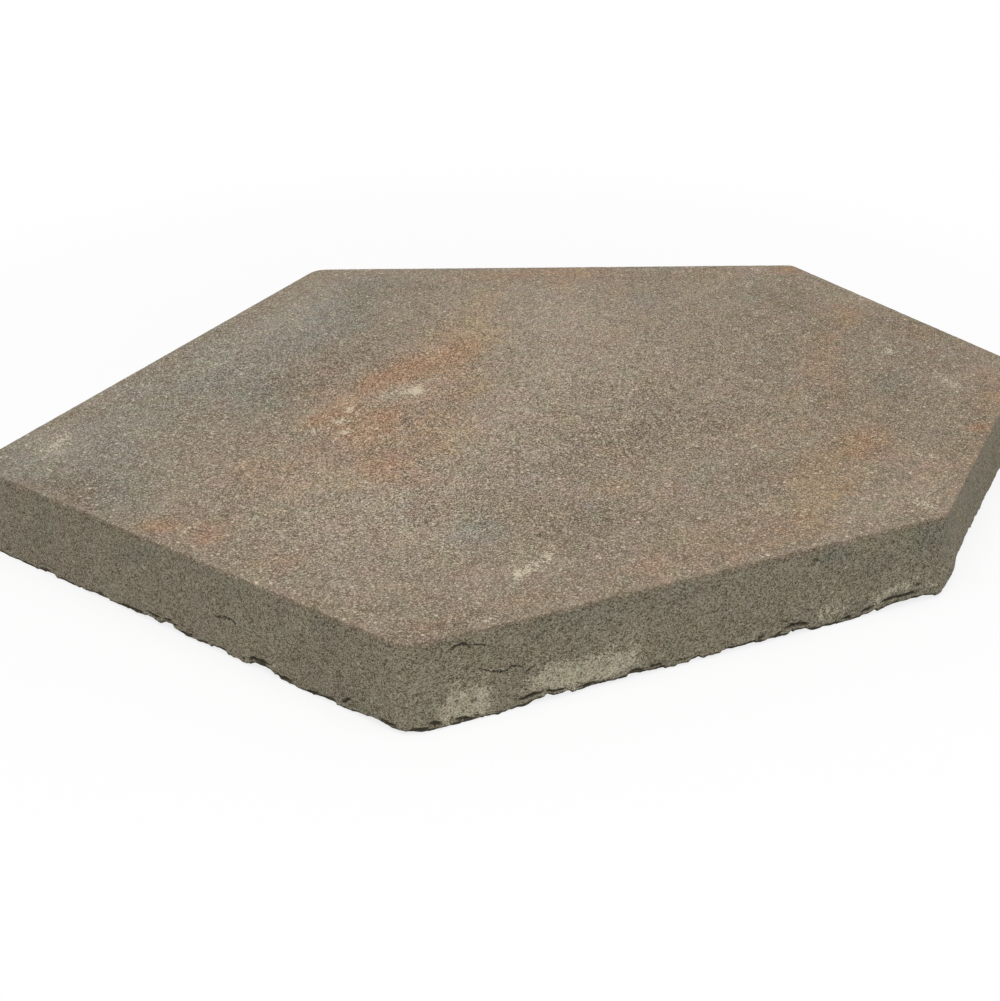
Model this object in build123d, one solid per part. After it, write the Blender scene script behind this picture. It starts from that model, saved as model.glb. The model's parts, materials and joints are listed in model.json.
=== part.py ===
from build123d import *
import os
from math import atan2, cos, degrees, radians, sin, sqrt, tan

# A six-sided paving stone, cast in one piece of dry-pressed concrete.
# Lengths are in millimetres. The front side lies along X, +Z is up, and the origin
# is at the middle of the underside.

# Plan of the wearing face, measured to the sharp corners.
# The sides come in three equal pairs, and each pair meets at a nesting corner. Stones
# turned about that corner close up round it without a gap.
long_side = 294.0       # the two back sides, which meet at the back corner
front_side = 262.0      # the front and left sides, which meet at the front left corner
short_side = 183.0      # the two right sides, which meet at the right tip
nesting_angle = 120.0   # between the two sides of a pair, a third of a full turn

# Roundings of the six corners, going clockwise from the left tip.
left_tip_radius = 10.0
back_radius = 11.0
back_right_radius = 5.0
right_tip_radius = 10.0
front_right_radius = 8.0
front_left_radius = 13.0

# Section through a side wall.
thickness = 44.0        # from the underside to the wearing face
mould_relief = 1.2      # how far the foot of a wall stands out past its top
arris_radius = 1.0      # rounding of the edge round the wearing face


def polar(length, angle):
    """A vector in the plan, by its length and its angle from +X in degrees."""
    return Vector(length * cos(radians(angle)), length * sin(radians(angle)))


def nesting_corner(start, end):
    """The corner between two equal sides that run from start to end, going clockwise."""
    chord = end - start
    rise = chord.length / 2 / tan(radians(nesting_angle / 2))
    outward = Vector(-chord.Y, chord.X).normalized()
    return (start + end) / 2 + outward * rise


def third_corner(start, end, from_start, from_end):
    """The corner at given distances from two others, to the left going from start to end."""
    base = end - start
    along = (from_start**2 + base.length**2 - from_end**2) / (2 * base.length)
    across = sqrt(from_start**2 - along**2)
    unit = base.normalized()
    return start + unit * along + Vector(-unit.Y, unit.X) * across


def plan_corners():
    """The six sharp corners of the wearing face, clockwise from the left tip."""
    chord_per_side = 2 * sin(radians(nesting_angle / 2))
    front_left = Vector(0, 0)
    front_right = Vector(front_side, 0)
    left_tip = polar(front_side, nesting_angle)
    back_right = third_corner(
        left_tip, front_right, long_side * chord_per_side, short_side * chord_per_side
    )
    back = nesting_corner(left_tip, back_right)
    right_tip = nesting_corner(back_right, front_right)
    return [left_tip, back, back_right, right_tip, front_right, front_left]


def wearing_face():
    """The plan with its rounded corners, as a face at its place over the origin."""
    radii = [
        left_tip_radius,
        back_radius,
        back_right_radius,
        right_tip_radius,
        front_right_radius,
        front_left_radius,
    ]
    face = make_face(FilletPolyline(*plan_corners(), radius=radii, close=True))
    middle = face.bounding_box().center()
    return Pos(-middle.X, -middle.Y, thickness) * face


def paving_stone():
    """The stone: a prism whose walls lean out to the foot, with a softened top edge."""
    block = extrude(wearing_face(), amount=thickness, dir=(0, 0, -1))
    walls = block.faces().filter_by(Axis.Z, reverse=True)
    top_plane = Plane(origin=(0, 0, thickness))
    relief_angle = degrees(atan2(mould_relief, thickness))
    block = draft(walls, neutral_plane=top_plane, angle=relief_angle)
    top_face = block.faces().sort_by(Axis.Z)[-1]
    return fillet(top_face.edges(), arris_radius)


os.makedirs("parts", exist_ok=True)
stone = paving_stone()
stone.label = "paving_stone"
export_step(stone, "parts/paving_stone.step")
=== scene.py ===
"""The looks of a concrete paving stone: its weathered body, its clouded colour and a plain studio."""
import json
from math import atan2, cos, hypot, pi, radians, sin, sqrt

import bpy
import numpy as np
from mathutils import Matrix, Vector
from mathutils.geometry import delaunay_2d_cdt


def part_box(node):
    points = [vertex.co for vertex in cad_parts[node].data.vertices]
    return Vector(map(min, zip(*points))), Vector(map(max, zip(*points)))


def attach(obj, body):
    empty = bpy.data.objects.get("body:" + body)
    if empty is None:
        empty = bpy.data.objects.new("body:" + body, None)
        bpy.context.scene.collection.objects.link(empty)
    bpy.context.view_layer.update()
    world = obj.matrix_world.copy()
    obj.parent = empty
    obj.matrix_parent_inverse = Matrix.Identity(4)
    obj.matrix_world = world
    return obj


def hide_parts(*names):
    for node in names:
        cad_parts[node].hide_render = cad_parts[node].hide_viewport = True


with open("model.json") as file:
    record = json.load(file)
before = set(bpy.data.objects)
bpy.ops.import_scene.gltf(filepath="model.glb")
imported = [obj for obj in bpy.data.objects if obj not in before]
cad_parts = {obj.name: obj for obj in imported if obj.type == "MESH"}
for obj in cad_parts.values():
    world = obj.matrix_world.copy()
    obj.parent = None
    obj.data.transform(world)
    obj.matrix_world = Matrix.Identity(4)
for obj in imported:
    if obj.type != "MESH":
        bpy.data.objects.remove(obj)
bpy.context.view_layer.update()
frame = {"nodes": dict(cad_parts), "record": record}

# Lengths are in millimetres unless a name says otherwise, and MM turns them into metres.
MM = 0.001
STONE = "paving_stone"
low_corner, high_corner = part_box(STONE)
THICKNESS = (high_corner.z - low_corner.z) / MM

# Fineness of the body's mesh.
COLUMN_SPACING = 1.12          # between the columns of points on the side walls
ROW_SPACING = 1.2              # between their rows
FOOT_ROW_SPACING = 0.6         # between the lowest rows, where the foot is broken
FOOT_ROWS = 8
ARRIS_STEPS = 4                # rows round the softened edge
EVENING_REACH = 2              # columns to each side that the outline is evened over
# Distance in from the edge, and the spacing of the points up to there. On the wearing face the
# points also stand at the closest spacing where a small mark lies.
FACE_SPACINGS = [(4.0, 1.25), (14.0, 2.1), (None, 2.9)]
BED_SPACINGS = [(9.0, 2.2), (None, 6.0)]
EDGE_GAP = 0.8                 # between the edge and the first points, over the closest spacing
FINE_REACH = 1.4               # how far round a small mark the points are fine, over its length
LONGEST_FINE_MARK = 8
KEEP_INSIDE = 1                # the triangulation keeps what lies inside the ring
MERGE_DISTANCE = 1e-7

# Soft oval marks on the wearing face: x, y, half length, half width, turn in degrees, strength.
RUST_MARKS = [
    (-78, -14, 20, 8, 55, 0.9),
    (-94, -16, 10, 7, 20, 0.5),
    (-101, 2, 9, 8, 0, 0.95),
    (-84, 16, 14, 9, 40, 0.45),
    (-64, 33, 10, 8, 40, 0.8),
    (-50, 38, 18, 12, 40, 0.4),
    (-34, 46, 16, 14, 50, 0.8),
    (-4, 55, 18, 12, 40, 0.85),
    (-12, 38, 24, 16, 40, 0.3),
    (-21, 4, 14, 9, 20, 0.5),
    (-75, -15, 66, 46, 40, 0.42),
    (-92, -57, 17, 11, 40, 0.55),
    (-50, -22, 20, 13, 30, 0.15),
    (-202, -70, 9, 8, 0, 0.8),
    (-185, -86, 15, 11, 50, 0.55),
    (-162, -118, 12, 9, 0, 0.4),
    (-150, -40, 28, 18, 40, 0.3),
    (131, -129, 18, 13, 25, 0.62),
    (116, -125, 60, 40, 20, 0.22),
    (195, -138, 8, 6, 0, 0.6),
    (228, -105, 34, 11, 51, 0.5),
    (165, -170, 28, 10, 40, 0.4),
    (188, -12, 46, 13, 46, 0.5),
    (160, -62, 22, 12, 45, 0.35),
    (225, 15, 22, 11, 60, 0.4),
    (115, 95, 22, 10, 40, 0.35),
    (102, 138, 42, 12, -20, 0.5),
    (58, 150, 24, 10, -20, 0.35),
    (230, 88, 12, 8, 0, 0.8),
    (185, 106, 24, 7, -20, 0.5),
    (0, -118, 12, 8, 0, 0.5),
    (30, -176, 40, 14, 10, 0.35),
    (-20, -188, 14, 8, 0, 0.35),
    (-75, -192, 16, 7, 0, 0.4),
    (-118, -192, 14, 6, 0, 0.35),
    (-35, -135, 9, 7, 50, 0.35),
    (75, -25, 20, 10, 45, 0.25),
    (60, 30, 26, 12, 50, 0.2),
    (240, -25, 9, 13, 0, 0.4),
    (22, 66, 16, 9, 30, 0.4),
    (60, -180, 14, 9, 0, 0.4),
    (100, -162, 18, 9, 35, 0.4),
    (-92, 34, 10, 8, 0, 0.35),
    (-85, 2, 8, 12, 0, 0.3),
    (-60, -52, 8, 14, 0, 0.25),
    (-84, -76, 12, 9, 40, 0.35),
    (-153, -128, 9, 9, 0, 0.3),
    (-80, -110, 10, 6, 0, 0.25),
    (-8, 84, 10, 12, 60, 0.35),
    (95, 48, 26, 10, 30, 0.25),
    (172, 96, 26, 9, -20, 0.3),
    (95, 125, 16, 10, 0, 0.25),
    (145, -165, 30, 9, 40, 0.3),
    (30, -194, 50, 7, 5, 0.35),
    (15, -138, 12, 9, 40, 0.3),
    (250, -25, 8, 16, 0, 0.3),
]
OCHRE_MARKS = [
    (10, 78, 24, 18, 60, 0.85),
    (36, 115, 32, 12, 55, 0.65),
    (-50, -45, 30, 20, 40, 0.4),
    (-64, -52, 12, 9, 0, 0.45),
    (95, -142, 34, 14, 35, 0.65),
    (75, -172, 34, 12, 45, 0.55),
    (-135, -60, 14, 20, 70, 0.45),
    (172, -36, 26, 10, 45, 0.5),
    (140, -85, 14, 18, 60, 0.35),
    (15, -85, 12, 7, 50, 0.45),
    (12, -45, 14, 6, 60, 0.4),
    (72, -40, 14, 8, 50, 0.35),
    (-150, 105, 14, 9, 45, 0.35),
    (90, 118, 10, 8, 0, 0.5),
    (-22, 68, 14, 9, 40, 0.45),
    (24, -128, 8, 10, 0, 0.35),
    (-24, 24, 12, 8, 0, 0.3),
    (215, 66, 12, 8, 0, 0.35),
]
SLATE_MARKS = [
    (-135, 68, 20, 15, 0, 0.5),
    (-122, 36, 24, 16, 45, 0.5),
    (-248, 12, 14, 30, 0, 0.7),
    (-12, 135, 14, 18, 0, 0.35),
    (70, 158, 36, 8, -22, 0.35),
    (-75, 100, 32, 20, 45, 0.55),
    (-45, 138, 34, 18, 60, 0.6),
    (-8, 166, 28, 15, -25, 0.5),
    (-165, 62, 80, 55, 35, 0.5),
    (-100, 130, 80, 36, 38, 0.42),
    (-210, 5, 28, 46, 0, 0.5),
    (-212, -38, 18, 24, -30, 0.5),
    (190, -75, 16, 11, 30, 0.7),
    (235, -58, 12, 14, 0, 0.4),
    (150, -15, 18, 11, 45, 0.45),
    (124, 72, 22, 12, 45, 0.35),
    (190, 66, 28, 10, 50, 0.5),
    (170, 116, 32, 8, -22, 0.6),
    (-75, -130, 20, 13, 30, 0.6),
    (-22, -135, 24, 11, 30, 0.5),
    (-148, -132, 18, 18, 0, 0.4),
    (-45, -62, 16, 10, 45, 0.4),
    (-30, -97, 20, 10, 45, 0.35),
    (62, -52, 20, 11, 40, 0.4),
    (50, -125, 20, 10, 30, 0.4),
    (30, 72, 14, 9, 45, 0.3),
    (-48, -27, 13, 9, 40, 0.3),
    (-97, -97, 13, 8, 30, 0.4),
    (113, -120, 15, 12, 20, 0.35),
    (170, -42, 14, 14, 0, 0.35),
    (-75, -132, 14, 12, 0, 0.35),
    (-40, 112, 9, 12, 0, 0.35),
    (-25, -78, 10, 12, 0, 0.3),
    (120, 85, 16, 12, 0, 0.3),
    (62, -180, 9, 7, 0, 0.4),
]
BLOOM_MARKS = [
    (-45.5, 16.5, 8, 4.2, 65, 1.25),
    (-43.5, 15, 4, 2.6, 65, 0.45),
    (-54, 19.5, 7, 5, 60, 0.55),
    (-61, 16, 7, 4, 20, 0.4),
    (-30, 26, 7, 2, 30, 0.55),
    (-228, 28, 9, 5, 62, 0.85),
    (-222, 37, 6, 3, 60, 0.5),
    (-237, 4, 5, 3, 65, 0.5),
    (-74, -172, 5, 2.8, 60, 1.3),
    (-68, -169, 5, 2.6, 60, 1.0),
    (-55.5, -163, 5, 2.6, 65, 1.3),
    (-62, -166, 2.6, 2, 0, 0.55),
    (-50, 132, 4, 2.2, 65, 0.86),
    (-12.8, 59, 3.4, 2.2, 0, 0.78),
    (-46.5, 52.5, 4, 2.2, 60, 0.7),
    (-73, 48, 3, 2, 0, 0.55),
    (-87, 66, 5, 3, 65, 0.62),
    (-60.5, 90, 5, 3, 65, 0.55),
    (-86, 32, 5, 2.6, 65, 0.62),
    (195, 78, 7.5, 3, 60, 0.78),
    (212, 97, 7.5, 3, 60, 0.7),
    (212, -40.5, 5, 2.6, 65, 1.2),
    (222, -43, 3.8, 2, 65, 0.62),
    (234, -46, 4.2, 2.2, 65, 0.62),
    (215.5, -75.5, 5, 2.6, 65, 0.7),
    (215.5, -84, 5, 2.8, 65, 0.78),
    (217, -90.5, 5, 2.8, 65, 0.78),
    (222, -98, 4.2, 2.2, 65, 0.55),
    (150, -148.5, 5, 2.4, 65, 0.78),
    (155, -153, 4.5, 2.4, 65, 0.86),
    (142, -127, 3.4, 2.6, 0, 0.62),
    (120.5, -188.5, 6.2, 3.4, 65, 0.7),
    (122.5, -194, 5, 3.4, 65, 0.55),
    (108, -49, 3, 2, 0, 0.62),
    (68, -11, 3.8, 2, 65, 0.62),
    (100, -118, 2.6, 2, 0, 0.55),
    (-93.5, -2.5, 4, 2.4, 20, 1.15),
    (-95.5, -15, 4, 2.6, 20, 1.15),
    (-84, 9, 4.2, 2.4, 65, 0.95),
    (-79.5, -26, 4.2, 2.4, 65, 0.7),
    (-109, -7.5, 4, 2.6, 20, 1.0),
    (-112, 3.5, 3.6, 2.4, 20, 0.7),
    (-122, 8, 3.8, 2, 65, 0.7),
    (-104, -22, 3.8, 2, 65, 0.55),
    (-68, -22, 3.5, 2, 65, 0.62),
    (-92, -128, 8, 4, 20, 0.47),
    (22, 19, 3.8, 2, 65, 0.62),
    (95, -2, 3.8, 2, 65, 0.62),
    (78, 10, 3.5, 2, 65, 0.62),
    (-38, -63, 4.2, 2.4, 65, 0.55),
    (-85, 157, 4.5, 2.2, 65, 0.62),
    (73, 115, 3.8, 2.2, 65, 0.62),
    (-85, 0, 36, 20, 10, 0.3),
]
# Lighter zones are positive and darker ones negative.
TONE_MARKS = [
    (-112, 113, 60, 14, 36, 0.9),
    (-60, 150, 30, 11, 40, 0.5),
    (55, 72, 60, 36, 55, 0.8),
    (-8, -20, 40, 24, 40, 0.8),
    (-35, -60, 34, 20, 30, 0.5),
    (-120, -80, 46, 36, 60, 0.8),
    (-95, -128, 22, 11, 0, 0.5),
    (-75, -168, 16, 8, 20, 0.5),
    (-230, 25, 16, 16, 0, 0.9),
    (-68, 18, 40, 11, 5, 0.5),
    (245, 35, 12, 20, 0, 0.9),
    (215, -88, 14, 9, 0, 0.6),
    (105, -182, 32, 11, 20, 0.5),
    (-100, 48, 45, 18, 25, -0.8),
    (-55, 92, 28, 15, 30, -0.5),
    (-28, 140, 40, 12, 65, -0.6),
    (205, 45, 28, 26, 0, -0.8),
    (236, -15, 20, 24, 0, -0.8),
    (170, -20, 40, 28, 20, -0.5),
    (185, -85, 55, 32, 20, -0.9),
    (200, -132, 26, 14, 45, -0.8),
    (30, -75, 35, 20, 20, -0.6),
    (92, -80, 40, 24, 0, -0.5),
    (-40, -142, 32, 15, 10, -0.7),
    (70, -138, 36, 13, 10, -0.5),
    (142, -125, 30, 15, 30, -0.5),
    (-225, -20, 24, 15, -62, -1.0),
    (150, 110, 25, 11, -20, -0.4),
    (0, -202, 150, 24, 0, -0.4),
    (-195, -95, 110, 18, -58, -0.4),
    (60, 168, 120, 16, -22, 0.4),
    (70, 25, 46, 30, 45, 0.35),
    (50, 95, 150, 60, -10, 0.35),
    (10, -10, 80, 45, 30, 0.3),
    (-60, 16, 26, 9, 5, 0.4),
    (-136, 32, 16, 12, 0, 0.45),
    (-62, 86, 18, 8, 20, 0.4),
    (-85, 125, 14, 12, 0, 0.45),
    (-30, 178, 26, 14, 0, 0.35),
    (65, 120, 12, 12, 0, 0.4),
    (42, 25, 14, 20, 0, 0.35),
    (232, 32, 10, 18, 20, 0.45),
    (212, 96, 12, 6, -20, 0.6),
    (-138, 86, 12, 8, 0, 0.35),
    (-95, -85, 16, 10, 30, 0.4),
    (-60, -65, 20, 14, 30, 0.3),
    (215, -97, 8, 5, 0, 0.5),
    (-160, -165, 20, 12, 0, -0.35),
    (-140, -200, 24, 10, 0, -0.35),
    (0, -150, 14, 8, 0, -0.4),
    (92, -140, 24, 12, 20, -0.3),
    (160, -138, 10, 8, 0, -0.5),
    (-232, 14, 10, 5, 0, -0.5),
    (-85, 4, 18, 5, 0, -0.4),
    (-10, 20, 16, 10, 0, -0.35),
    (130, 85, 20, 25, 0, -0.25),
    (25, 15, 95, 60, 30, 0.25),
    (-85, -90, 42, 45, 30, 0.3),
    (-20, -170, 24, 14, 0, -0.4),
    (-120, -200, 30, 14, 0, -0.5),
    (-228, -12, 20, 20, 0, -0.3),
    (178, -160, 50, 14, 50, -0.4),
    (-45, 16, 18, 8, 0, 0.35),
    (-72, 86, 14, 7, 0, 0.35),
    (212, -42, 10, 7, 0, 0.4),
    (172, -15, 24, 14, 0, 0.25),
    (-85, -126, 18, 12, 0, 0.35),
    (-130, -24, 10, 12, 0, 0.35),
    (-118, -64, 14, 11, 0, 0.3),
    (-58, -94, 16, 14, 0, 0.3),
    (66, -20, 10, 22, 0, 0.3),
    (-135, 88, 14, 8, 0, 0.3),
    (-228, 18, 10, 8, 0, 0.4),
    (-84, 93, 8, 7, 0, -0.35),
    (45, 94, 14, 16, 0, -0.35),
    (56, -102, 20, 8, 0, -0.3),
    (112, -192, 12, 7, 0, -0.4),
    (-14, -150, 11, 7, 0, -0.4),
    (-145, -194, 14, 7, 0, -0.5),
    (196, 18, 12, 12, 0, -0.3),
    (-193, -6, 14, 9, 0, -0.3),
]
# How open the grain of the wearing face is, over its closest grain at the edges.
CLOSEST_GRAIN = 0.62
OPEN_MARKS = [
    (-5, 0, 165, 125, 0, 0.55),
    (-105, -95, 70, 50, 0, 0.3),
    (-130, 110, 60, 36, 35, 0.25),
]
# Marks on the walls: wall, distance from the wall's middle to the right as one faces it, height
# above the bed, half length, half height, turn in degrees, strength.
LIME_MARKS = [
    ("front", -114, 11, 6, 9, -20, 0.75),
    ("front", -106, 8, 7, 8, 0, 1.0),
    ("front", -100.5, 10, 4, 8, 0, 0.8),
    ("front", -118, 6, 4, 4, 0, 0.4),
    ("front", -111, 28, 1.8, 7, 0, 0.5),
    ("front", -77, 9, 5, 5, 20, 0.6),
    ("front", -71, 13, 7, 8, 40, 0.65),
    ("front", -60, 9, 13, 7, 0, 0.85),
    ("front", -44, 8, 13, 5.5, 5, 1.05),
    ("front", -52, 16, 18, 6, 0, 0.4),
    ("front", -33, 12, 6, 8, 0, 0.5),
    ("front", 70, 9, 11, 7, 0, 0.6),
    ("front", 107, 11, 11, 3, 14, 1.05),
    ("front", 97, 7, 6, 2.4, 25, 0.8),
    ("front", 125, 7, 6, 2, -20, 0.8),
    ("left", -98, 23, 3, 5, 0, 0.5),
]
MOSS_MARKS = [
    ("front", -62, 37, 26, 7, 0, 0.6),
    ("front", -15, 36, 26, 6, 0, 0.4),
    ("front", -25, 5, 12, 4, 0, 0.5),
    ("front", 68, 36, 9, 3, 0, 0.9),
    ("front", 122, 33, 9, 8, 0, 0.9),
    ("front", 100, 30, 30, 10, 0, 0.4),
    ("front", -85, 10, 6, 10, 0, 0.5),
    ("front", 88, 4, 52, 4.5, 0, 0.5),
    ("left", -20, 34, 12, 5, 30, 0.8),
    ("left", -85, 26, 7, 14, -20, 0.6),
    ("left", 36, 37, 6, 4, 0, 0.5),
    ("left", 90, 36, 8, 4, 0, 0.5),
    ("left", 110, 3, 30, 3, 0, 0.4),
    ("front_right", -80, 32, 15, 12, 0, 0.6),
    ("front_right", -30, 24, 20, 9, 0, 0.5),
]
PIT_MARKS = [
    ("front", 59.5, 36.6, 2.2, 1.3, 0, 1.2),
    ("front", 66, 37.8, 1.6, 1, 0, 1.0),
    ("front", 63.5, 34.5, 1.2, 1, 0, 0.8),
    ("front", 77, 35.5, 2.4, 0.8, 0, 0.9),
    ("front", 45, 9, 3.5, 0.9, -25, 0.9),
    ("front", 57, 11.5, 2.6, 0.9, -20, 0.9),
    ("front", 117.3, 9.3, 2.2, 1.1, 20, 1.1),
    ("front", -104.3, 9.5, 1.5, 1.3, 0, 1.2),
    ("front", -112, 11.5, 1.2, 1, 0, 1.0),
    ("front", -117, 7, 1.2, 1, 0, 0.9),
    ("front", -52, 40.5, 2.4, 0.7, 0, 0.9),
    ("front", -119.8, 33.4, 2.2, 0.7, -30, 1.1),
    ("front", -72.5, 34.3, 1.2, 1, 0, 1.0),
    ("front", -75.5, 33, 1.1, 1, 0, 0.9),
    ("left", 7, 12, 1.4, 1, 0, 0.9),
    ("left", -12, 15.2, 3, 0.9, 0, 1.0),
    ("left", -8.5, 13, 1.2, 1.6, 0, 0.9),
    ("left", -60, 12, 2, 1, 0, 0.9),
    ("left", 70, 13, 1.4, 1.8, 30, 1.0),
    ("left", 73, 15.5, 1.2, 1, 0, 0.9),
    ("left", 72, 36, 1.4, 1, 0, 0.9),
    ("left", 52, 8, 3.4, 0.8, 0, 1.0),
    ("left", 47, 24, 1.6, 0.7, 0, 0.8),
    ("left", -113, 4, 2.6, 0.9, 30, 0.9),
    ("front_right", -80, 9, 2.6, 1, 40, 0.8),
]
# Hollows under the edge that has broken away, as marks too. They are cut in and darkened with painted
# shade.
NOTCH_MARKS = [
    ("front", -121, 3.2, 3, 1.1, -20, 1.1),
    ("front", -109.5, 2.4, 3.4, 1.1, -12, 1.2),
    ("front", -103, 2.2, 2.6, 0.7, -20, 0.8),
    ("front", -78.5, 3.9, 5.5, 1, 0, 1.2),
    ("front", -67, 2.7, 5, 0.8, 0, 1.0),
    ("front", -52, 2.2, 5.5, 0.7, 0, 1.0),
    ("front", -28, 2.2, 4, 0.8, 0, 1.0),
    ("front", -19, 2.7, 4.5, 0.8, 0, 0.9),
    ("front", -6, 2.4, 4, 0.7, 0, 0.8),
    ("front", 20, 1, 5, 0.7, 0, 0.9),
    ("front", 34, 3.1, 2.4, 0.9, 20, 1.2),
    ("front", 43, 2.2, 2.4, 0.9, 20, 1.2),
    ("front", 52, 4.2, 6, 1.2, -8, 1.2),
    ("front", 62, 1, 3, 0.7, 0, 0.8),
    ("front", 79.5, 2.4, 2.2, 0.9, 0, 1.1),
    ("front", 90, 3, 4, 0.9, 8, 1.1),
    ("front", 102, 4.6, 4.5, 1.3, 0, 1.2),
    ("front", 112.5, 4, 4.5, 1.1, 0, 1.2),
    ("left", -99, 0.8, 6, 0.6, 0, 0.8),
    ("left", -33, 1.2, 3.5, 0.8, 0, 1.1),
    ("left", -25.5, 1.5, 4, 0.8, 0, 1.1),
    ("left", -14.5, 3, 4, 0.9, 0, 1.2),
    ("left", -3.5, 2.6, 4, 0.9, 0, 1.1),
    ("left", 6.5, 1.4, 4, 0.8, 0, 0.9),
    ("left", 50, 3.2, 5.5, 1.4, 5, 1.4),
    ("left", 65, 1.6, 4.5, 0.9, 0, 1.2),
    ("left", 80, 1.4, 5, 0.8, 10, 1.1),
    ("left", 90, 1.6, 4, 0.7, 0, 0.9),
    ("left", 98.6, 4.6, 3.4, 0.7, 45, 1.2),
    ("front_right", -60, 1.2, 6, 0.9, 0, 0.8),
    ("back_left", 12, 1.6, 5, 0.9, 0, 1.1),
    ("back_left", -92, 1.6, 6, 0.9, 0, 1.1),
    ("back_right", -28, 1.6, 5, 0.9, 0, 1.1),
    ("back_right", 60, 1.8, 6, 0.9, 0, 1.1),
    ("right", -40, 1.6, 5, 0.9, 0, 1.1),
    ("front", -128, 1.6, 3.5, 0.9, 0, 1.1),
    ("left", 121, 2, 4, 0.9, 0, 1.1),
]
# Where a wall swells out: the strength is the height of the swelling.
BULGE_MARKS = [
    ("front_right", -74, 8.5, 16, 8, 0, 3.2),
]
# Cracks: wall, half width, then points along them as distance from the middle and height above
# the bed. They count up to their reach, in half widths, and beyond it a point is far off.
CRACK_REACH = 12
FAR_OFF = 99.0
CRACKS = [
    ("front", 0.4, [(-115.6, 36.2), (-113.8, 37.6)]),
    ("front", 0.75, [(-113.8, 37.6), (-111.2, 38.8), (-108.2, 38.7), (-106.9, 37.9), (-105.8, 36.2)]),
    ("front", 0.35, [(-103.8, 36.9), (-99.1, 35.5)]),
    ("front", 0.3, [(-102, 24.9), (-96.5, 22.4)]),
    ("front", 0.55, [(-96.5, 22.4), (-93.9, 21.4), (-90.6, 20.5)]),
    ("front", 0.5, [(-89.9, 20.3), (-88.9, 20.8), (-88, 21.5), (-86.9, 22.2), (-82.6, 20.6)]),
    ("front", 0.4, [(-80.8, 17.6), (-76.7, 19.9)]),
    ("left", 0.45, [(25.5, 18.4), (31, 19.6)]),
    ("left", 0.5, [(30.6, 20.4), (35.6, 20.9), (37.8, 19.3)]),
]
# The foot line of each wall, whose edge has broken away from the bed: distance from the wall's
# middle, and how high the edge ends there above the bed.
FOOT_LINES = {
    "left": [
        (-131, 0.6), (-113, 0), (-97, 0), (-92, 1.2), (-60, 1.0), (-35, 1.8), (-2, 3.0), (6, 1.5),
        (42, 1.5), (47, 3.2), (57, 3.2), (60, 1.6), (71, 1.4), (74, 0.1), (80, 0.1), (84, 1.2),
        (97, 1.2), (113, 3.2), (131, 2.0),
    ],
    "front": [
        (-131, 2.2), (-128, 1.2), (-106, 1.0), (-100, 1.0), (-97, 0.1), (-92, 0.1), (-89, 1.4),
        (-80, 1.4), (-77, 2.8), (-70, 2.8), (-68, 1.7), (-56, 1.8), (-53, 2.5), (-28, 2.0),
        (-25, 1.4), (47, 2.1), (51, 3.0), (57, 3.0), (60, 1.4), (63, 0.3), (79, 0.6), (91, 1.5),
        (95, 2.6), (103, 4.0), (121, 4.0), (131, 2.4),
    ],
    "front_right": [
        (-91, 1.4), (-84, 1.7), (-76, 0.2), (-46, 0.2), (-36, 1.0), (-25, 1.8), (20, 1.6), (30, 0.1),
        (44, 0.1), (52, 1.0), (91, 1.0),
    ],
    "right": [(-91, 1.0), (-60, 0.8), (-52, 2.2), (-30, 2.0), (-24, 1.0), (50, 1.6), (91, 1.2)],
    "back_right": [
        (-147, 1.2), (-40, 1.0), (-36, 2.2), (-22, 2.0), (-18, 1.0), (48, 1.2), (52, 2.6), (70, 2.4),
        (76, 1.2), (147, 1.2),
    ],
    "back_left": [
        (-147, 1.4), (-104, 2.2), (-78, 2.0), (-74, 0.8), (10, 1.2), (14, 2.6), (30, 2.2), (36, 1.0),
        (147, 0.6),
    ],
}


def plan_wall(mount):
    """A side wall's middle in the plan and its outward direction, from the mount on it."""
    x, y, _ = mount["pos_m"]
    direction = np.array(mount["axis"][:2])
    return np.array([x, y]) / MM, direction / np.linalg.norm(direction)


WALL_MOUNT = "joint_side_"
side_mounts = [m for m in frame["record"]["mounts"] if m["name"].startswith(WALL_MOUNT)]
WALLS = {m["name"].removeprefix(WALL_MOUNT): plan_wall(m) for m in side_mounts}
LEAN = side_mounts[0]["axis"][2] / hypot(*side_mounts[0]["axis"][:2])


def cad_rim(height):
    """The CAD stone's plan points at one height, anticlockwise."""
    points = np.array([v.co for v in frame["nodes"][STONE].data.vertices]) / MM
    rim = np.unique(points[abs(points[:, 2] - height) < 0.01][:, :2].round(3), axis=0)
    return rim[np.argsort(np.arctan2(rim[:, 1], rim[:, 0]))]


foot_rim = cad_rim(0)
# The arris is a quarter round: its radius follows from how far the top has drawn in.
draw_in = (np.ptp(foot_rim[:, 0]) - np.ptp(cad_rim(THICKNESS)[:, 0])) / 2
ARRIS_RADIUS = (draw_in - LEAN * THICKNESS) / (sqrt(1 + LEAN**2) - LEAN)


def even_outline(rim, spacing):
    """Points evenly spaced round a closed rim, with their outward directions."""
    closed = np.vstack([rim, rim[:1]])
    travelled = np.concatenate([[0], np.cumsum(np.linalg.norm(np.diff(closed, axis=0), axis=1))])
    count = round(travelled[-1] / spacing)
    places = np.arange(count) * travelled[-1] / count
    outline = np.column_stack([np.interp(places, travelled, closed[:, k]) for k in (0, 1)])
    # A short running mean takes the facets out of the rounded corners.
    shifts = range(-EVENING_REACH, EVENING_REACH + 1)
    outline = sum(np.roll(outline, shift, axis=0) for shift in shifts) / len(shifts)
    ahead = np.roll(outline, -EVENING_REACH, axis=0) - np.roll(outline, EVENING_REACH, axis=0)
    outward = np.column_stack([ahead[:, 1], -ahead[:, 0]])
    return outline, outward / np.linalg.norm(outward, axis=1)[:, None]


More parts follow.
